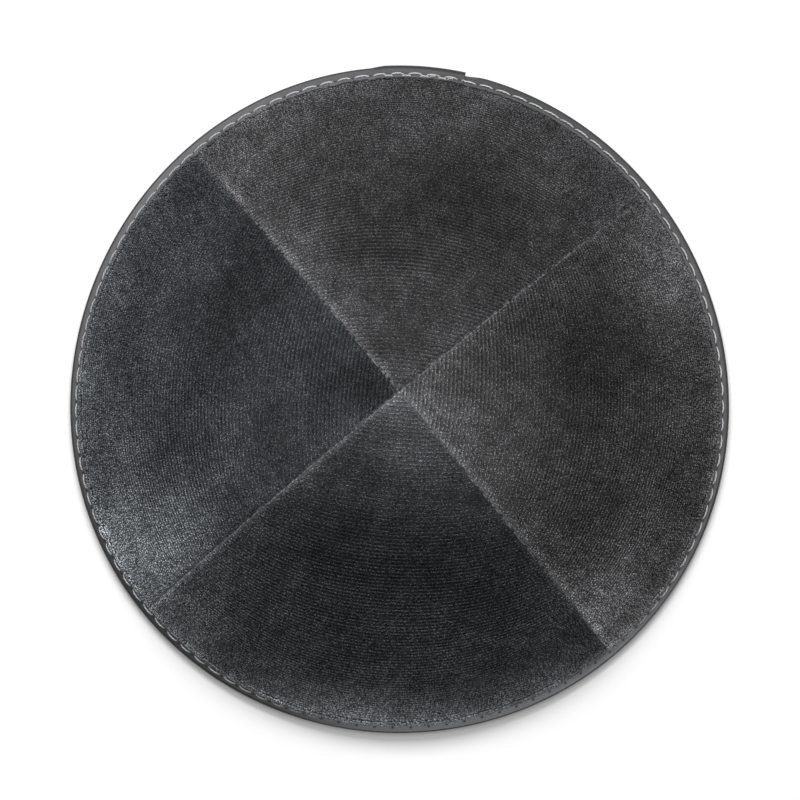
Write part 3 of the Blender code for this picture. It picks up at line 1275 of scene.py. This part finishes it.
@dataclass
class RimBinding:
    """The folded strip, finer than its solid, with its sewn-down edge and its turned fold."""

    binding: BindingForm
    finish: BindingFinish
    stations: int = 720
    face_steps: int = 14
    fold_steps: int = 12
    sag_length: float = 0.0012
    edge_width: float = 0.0004
    # How far in from the outer edge the painted shade of the turned-under tape reaches, wider at the front
    # and narrower at slits.
    underside: float = 0.00090
    underside_front: float = 0.00022
    underside_slit: float = 0.00016
    underside_fade: float = 0.0002
    front: Stretch = Stretch(middle_deg=293, spread_deg=52)
    shade_stops: float = 1.2
    shade_above_mm: float = 0.4
    shade_fade_mm: float = 0.3
    no_needle_mm: float = 9.0

    @property
    def columns(self) -> int:
        """Faces across the strip, from its outer to its inner edge."""
        return 2 * self.face_steps + self.fold_steps

    def build(self) -> Piece:
        """The strip as one closed sheet that follows the fold.

        Returns:
            The piece.
        """
        strip, form, rhythm = self.binding, self.binding.form, self.binding.rhythm
        columns = self.columns
        total = strip.turn + strip.lap_length

        def place(sideways: Array, lengthways: Array, layer: Array) -> Array:
            """A grid point on the strip's shown or hidden face.

            Args:
                sideways: Minus 1 to 1 across the strip, from its outer to its inner edge.
                lengthways: Minus 1 to 1 along the strip.
                layer: 0 on the shown face and 1 on the hidden one.

            Returns:
                Points in metres.
            """
            index = np.rint((sideways + 1) / 2 * columns)
            along = (lengthways + 1) / 2 * total
            azimuth = strip.azimuth(along)
            lift, thickness, leaving, _ = strip.layout(along)
            edge, outward, down = form.frame(azimuth, np.ones_like(azimuth))
            level = unit(outward * np.array((1, 1, 0)))
            middle = edge - outward * form.wall / 2
            full = strip.fold_inside + lift + thickness
            drop = leaving * (middle[:, 2] - full * math.cos(strip.rest_flat)) / -down[:, 2]
            centre = middle + down * drop[:, None]
            start = np.arctan2((outward * level).sum(axis=1), -outward[:, 2])

            on_fold = (index > self.face_steps) & (index < columns - self.face_steps)
            share = np.clip((index - self.face_steps) / self.fold_steps, 0, 1)
            angle = start - math.pi * share
            squeeze = np.where(np.abs(angle) < strip.rest_flat, math.cos(strip.rest_flat) / np.cos(angle), 1)
            radius = np.where(layer < 0.5, full, strip.fold_inside + lift) * squeeze
            arm = level * np.sin(angle)[:, None] - np.array((0, 0, 1)) * np.cos(angle)[:, None]
            folded = centre + arm * radius[:, None]

            outer_part = 1 - np.clip(index / self.face_steps, 0, 1)
            inner_part = 1 - np.clip((columns - index) / self.face_steps, 0, 1)
            inner = index > columns / 2
            part = np.where(inner, inner_part, outer_part)
            reach = np.where(inner, strip.inside_reach, strip.outside_reach - rhythm.tucked(azimuth))
            up = part * reach
            here, normal, _ = form.frame(azimuth, 1 - up / form.slope_length)
            low, high = strip.offsets(along, up)
            offset = np.where(layer < 0.5, high, low)
            offset = np.where(inner, -offset, offset) - form.wall / 2
            flap = here + normal * offset[:, None]
            sag = down * (drop * np.exp(-up / self.sag_length))[:, None]
            return np.where(on_fold[:, None], folded, flap + sag)

        mesh, flat = Workshop.wall("rim_binding_tape", columns, self.stations, place)
        self.mark(mesh, np.rint((flat[:, 0] + 1) / 2 * columns), (flat[:, 1] + 1) / 2 * total)
        Workshop.tidied(mesh)
        mesh.shade_smooth()
        mesh.set_sharp_from_angle(angle=math.radians(60))
        made = Workshop.piece(mesh, (self.finish.material(),), "binding")
        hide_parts("rim_binding")
        return made

    def mark(self, mesh: Mesh, index: Array, along: Array) -> None:
        """Gives the strip its map and the values that its finish reads.

        Args:
            mesh: The strip, straight after its grid was placed.
            index: Each point's step across the strip, from its outer edge.
            along: Each point's length along the strip.
        """
        strip, form = self.binding, self.binding.form
        points = Workshop.points(mesh)
        azimuth = strip.azimuth(along)
        reach = strip.outside_reach - strip.rhythm.tucked(azimuth)
        up = (1 - index / self.face_steps) * reach
        above = (up - strip.rhythm.line(azimuth)) * 1000
        above = np.where(index > self.columns / 2, self.no_needle_mm, above)
        flat = np.stack((strip.rhythm.phase(azimuth), above), axis=-1)
        Workshop.set_point_map(mesh, "strip", flat)
        covered = 1 - strip.rhythm.bare(azimuth)
        Workshop.set_value(mesh, "edge", bell(up, reach, self.edge_width) * (1 - covered))
        # Painted shade of the fold: the outermost ring, where the tape turns under, and the fold and inner
        # flap.
        outermost = np.hypot(points[:, 0], points[:, 1]) - form.rim_radius(azimuth)
        slit = strip.rhythm.slit(azimuth)
        limit = self.underside + self.underside_front * self.front(azimuth) - self.underside_slit * slit
        under = smooth_step((outermost - limit) / self.underside_fade)
        low = smooth_step((index - self.face_steps - 2) / 3)
        Workshop.set_value(mesh, "turned", np.maximum(under, low) * (index < self.columns - self.face_steps))
        # Painted light and shade at places round the rim, and painted shade on the tape above the thread
        # where the nap reaches over it.
        stops = sum(patch.strength(azimuth, np.ones_like(azimuth)) for patch in self.finish.tape_painted_light_and_shade)
        shade = self.shade_stops * covered * smooth_step((above - self.shade_above_mm) / self.shade_fade_mm)
        stops = stops - shade * (index < self.columns / 2)
        Workshop.set_value(mesh, "tape_painted_light_and_shade", 2.0**stops)
        # Where the painted shade of the slit beside the thread goes.
        Workshop.set_value(mesh, "slit", slit)


@dataclass(frozen=True)
class StitchRow:
    """A run of stitches: where each is centred, how it leans, how long it is, and how deep it sits."""

    azimuths: Array
    raised: float = 0.0
    slant: float = 0.0
    half_length: float = 0.00204
    inner: bool = False


@dataclass
class Topstitching:
    """The thread round the rim: bowed stitches that dip into their holes, hidden by the nap at the front.

    Where the stitches are stretched or drawn they are longer, and bow and dip less. The thread has
    painted shade where the nap hides it, and is darker where it is drawn.
    """

    binding: BindingForm
    finish: ThreadFinish
    radius: float = 0.00021
    bow: float = 0.00022
    stand: float = 0.00012
    dip: float = 0.00038
    hidden_dip: float = 0.00030
    wander: float = 0.00005
    taper: float = 0.45
    twist_run: float = 0.0016
    stretch_drawn: float = 0.8
    stretch_longer: float = 0.1
    stretch_bow: float = 0.7
    stretch_dip: float = 0.6
    painted_shade_hidden: float = 0.8
    dull_drawn: float = 0.28
    hidden: Stretch = Stretch(middle_deg=-72, spread_deg=33)

    def build(self, name: str, rows: Sequence[StitchRow]) -> Piece:
        """All the stitches of these rows as one piece.

        Args:
            name: The piece's name.
            rows: The runs of stitches.

        Returns:
            The piece.
        """
        shape = SmallShape.stitch()
        placed = np.concatenate([self.placed(shape, row) for row in rows])
        mesh = shape.repeated(name, placed)
        copies = len(placed)
        along = np.tile(shape.points[shape.corners, 2] * self.twist_run, copies)
        flat = np.stack((along, np.tile(shape.wrap(), copies)), axis=-1)
        Workshop.set_map(mesh, "twist", flat)
        points = placed.reshape(-1, 3)
        azimuth = np.arctan2(points[:, 1], points[:, 0])
        # Painted shade on the thread where the nap hides it at the front; darker also where it is drawn.
        darkening = self.painted_shade_hidden * self.hidden(azimuth) + self.dull_drawn * self.binding.rhythm.drawn(azimuth)
        Workshop.set_value(mesh, "sunk", 1 - darkening)
        mesh.shade_smooth()
        return Workshop.piece(mesh, (self.finish.material(),), "thread")

    def placed(self, shape: SmallShape, row: StitchRow) -> Array:
        """The points of every stitch of a row.

        Args:
            shape: The tube that each stitch is bent from.
            row: The run of stitches.

        Returns:
            Points shaped stitches by points by three.
        """
        side_x, side_y, run = (part[None] for part in shape.points.T)
        centre = row.azimuths[:, None]
        random = np.random.default_rng(11)
        rhythm = self.binding.rhythm
        stretched = rhythm.stretched(centre) + self.stretch_drawn * rhythm.drawn(centre)
        lengths = row.half_length * random.uniform(0.9, 1.08, centre.shape)
        lengths = lengths * (1 + self.stretch_longer * stretched)
        azimuth = centre + run * lengths / self.binding.form.skin_radius
        up = rhythm.line(azimuth) + row.raised + row.slant * run + random.normal(0, self.wander, centre.shape)
        up = up - self.bow * (1 - run**2) * (1 - self.stretch_bow * stretched)
        here, outward, down = self.binding.surface(azimuth, up, row.inner)
        height = self.stand - self.dip * run**4 * (1 - self.stretch_dip * stretched)
        height = height - self.hidden_dip * self.hidden(azimuth)
        radius = self.radius * (1 - self.taper * run**4)
        lifted = outward * (height + radius * side_x)[..., None]
        return here + lifted + down * (radius * side_y)[..., None]


def heading(azimuth_deg: float, elevation_deg: float) -> Vector:
    """The way from the cap towards what stands at these angles.

    Args:
        azimuth_deg: Its azimuth round the cap.
        elevation_deg: Its height above the floor as an angle.

    Returns:
        The way, one metre long.
    """
    azimuth, elevation = math.radians(azimuth_deg), math.radians(elevation_deg)
    flat = math.cos(elevation)
    return Vector((flat * math.cos(azimuth), flat * math.sin(azimuth), math.sin(elevation)))


@dataclass(frozen=True)
class Studio:
    """The pale floor, soft lights and camera round the cap."""

    distance: float = 1.0
    frame_width: float = 0.2028
    image_up_deg: float = 95.3
    elevation_deg: float = 87.4
    aim: tuple[float, float, float] = (0.0001, 0.0002, 0.0)
    fill_light: float = 0.23

    def add_camera(self) -> None:
        """The photograph's view, from nearly straight above."""
        back = heading(self.image_up_deg - 180, self.elevation_deg)
        right = heading(self.image_up_deg, 0).cross(back).normalized()
        true_up = back.cross(right).normalized()
        data = bpy.data.cameras.new("photo camera")
        data.sensor_width = 36.0
        data.lens = data.sensor_width * self.distance / self.frame_width
        data.clip_start = 0.01
        camera = Workshop.added("photo camera", data)
        turned = Matrix((right, true_up, back)).transposed().to_4x4()
        camera.matrix_world = Matrix.Translation(Vector(self.aim) + back * self.distance) @ turned
        bpy.context.scene.camera = camera
        LOG.info("camera lens %.1f mm", data.lens)

    def add_light(self, name: str, azimuth_deg: float, elevation_deg: float, distance: float,
                  sides: tuple[float, float], power: float) -> None:
        """A soft light aimed at the cap.

        Args:
            name: The light's name.
            azimuth_deg: Where it stands round the cap.
            elevation_deg: How high it stands.
            distance: How far off it is.
            sides: Its width and height.
            power: Its power in watts.
        """
        back = heading(azimuth_deg, elevation_deg)
        data = bpy.data.lights.new(name, "AREA")
        data.shape = "RECTANGLE"
        data.size, data.size_y = sides
        data.energy = power
        lamp = Workshop.added(name, data)
        lamp.location = back * distance
        lamp.rotation_euler = back.to_track_quat("Z", "Y").to_euler()

    def add_floor(self) -> None:
        """A wide sheet of pale paper under the cap."""
        builder = bmesh.new()
        bmesh.ops.create_grid(builder, x_segments=8, y_segments=8, size=1.5)
        mesh = Workshop.mesh_of(builder, "floor")
        mesh.materials.append(FloorFinish().material())
        Workshop.added("floor", mesh)

    def build(self) -> None:
        """Everything round the cap."""
        self.add_camera()
        self.add_floor()
        self.add_light("back key", azimuth_deg=98, elevation_deg=51.5, distance=1.6,
                       sides=(1.1, 0.26), power=27)
        self.add_light("overhead soft box", azimuth_deg=95, elevation_deg=84, distance=1.7,
                       sides=(1.2, 1.2), power=12)
        world = bpy.data.worlds.new("studio")
        world.use_nodes = True
        background = world.node_tree.nodes["Background"]
        background.inputs["Color"].default_value = (1, 1, 1, 1)
        background.inputs["Strength"].default_value = self.fill_light
        bpy.context.scene.world = world
        bpy.context.scene.view_settings.view_transform = "Standard"


# Painted light: each gore's deep and tip colours are lit and shaded copies of one velvet, brighter on the
# front gore that the back key leaves in shade and darker on the back gore that faces it. Each gore's patches
# are painted light and shade, such as the lighter band along the front rim.
VELVETS = (
    VelvetFinish(
        side=Side.FRONT,
        deep=(0.0026, 0.0028, 0.0030, 1),
        tip=(0.200, 0.211, 0.221, 1),
        patches=(
            Spot(-90, 0.17, 0.07, 0.08, 0.4),
            Spot(-62, 0.18, 0.08, 0.14, 0.7),
            Spot(-88, 0.50, 0.50, 0.27, -1.2),
            Spot(-90, 0.99, 0.95, 0.11, 1.9),
            Spot(-130, 0.92, 0.20, 0.16, 1.3),
            Spot(-58, 0.97, 0.22, 0.08, 1.1),
            Spot(-50, 0.55, 0.10, 0.16, -0.3),
        ),
        seams=(1.1, 0.0),
    ),
    VelvetFinish(
        side=Side.RIGHT,
        deep=(0.0036, 0.0036, 0.0038, 1),
        tip=(0.205, 0.205, 0.212, 1),
        patches=(
            Spot(-16, 0.16, 0.12, 0.14, 0.85),
            Spot(34, 0.92, 0.25, 0.12, 0.45),
            Spot(-26, 0.71, 0.17, 0.05, -0.5),
            Spot(11, 0.74, 0.15, 0.06, -0.5),
            Spot(20, 0.56, 0.35, 0.20, -1.1),
            Spot(-34, 0.30, 0.08, 0.14, 0.1),
            Spot(-38, 0.90, 0.25, 0.15, 1.2),
            Spot(-43, 0.93, 0.08, 0.14, 0.6),
            Spot(43, 0.24, 0.03, 0.18, 0.5),
        ),
        seams=(1.1, 0.0),
    ),
    VelvetFinish(
        side=Side.BACK,
        deep=(0.0045, 0.0045, 0.0047, 1),
        tip=(0.147, 0.147, 0.153, 1),
        patches=(
            Spot(117, 0.95, 0.20, 0.12, 0.5),
            Spot(73, 0.66, 0.22, 0.16, -0.4),
            Spot(78, 0.52, 0.35, 0.18, -0.6),
            Spot(105, 0.05, 0.12, 0.08, 0.6),
            Spot(129, 0.36, 0.09, 0.20, 0.55),
            Spot(55, 0.28, 0.12, 0.16, 0.4),
            Spot(131, 0.75, 0.09, 0.25, 0.6),
        ),
        seams=(0.0, 1.1),
    ),
    VelvetFinish(
        side=Side.LEFT,
        deep=(0.0024, 0.0026, 0.0028, 1),
        tip=(0.172, 0.186, 0.199, 1),
        patches=(
            Spot(217, 0.92, 0.22, 0.22, 2.3),
            Spot(190, 0.96, 0.42, 0.11, 0.8),
            Spot(218, 0.14, 0.05, 0.12, 0.25),
            Spot(184, 0.10, 0.09, 0.09, -1.3),
            Spot(140, 0.82, 0.10, 0.16, -0.7),
            Spot(150, 0.53, 0.32, 0.20, -0.8),
        ),
    ),
)


def main() -> None:
    """Builds each sub-assembly in order."""
    logging.basicConfig(level=logging.INFO, format="%(name)s: %(message)s")
    form, rhythm = CapForm(), StitchRhythm()
    skin = VelvetSkin(form, rhythm)
    for finish in VELVETS:
        gore = VelvetGore(skin, finish)
        gore.build_wall()
        gore.build_pile()
    strip = BindingForm(form, rhythm)
    RimBinding(strip, BindingFinish()).build()
    sewing = Topstitching(strip, ThreadFinish())
    first, pitch = math.radians(rhythm.first_deg), rhythm.pitch
    round_rim = first + (np.arange(rhythm.count) + 0.5) * pitch
    sewing.build("topstitch_outside", (StitchRow(round_rim),))
    sewing.build("topstitch_inside", (StitchRow(round_rim, inner=True, half_length=0.0015),))
    lap = first + (np.arange(4) + 1.0) * pitch
    sewing.build("topstitch_lap", (
        StitchRow(lap, raised=0.0012, half_length=0.0013),
        StitchRow(lap[:2] - pitch * 0.45, raised=0.0009, slant=0.0006, half_length=0.0009),
    ))
    Studio().build()


if __name__ == "__main__":
    main()
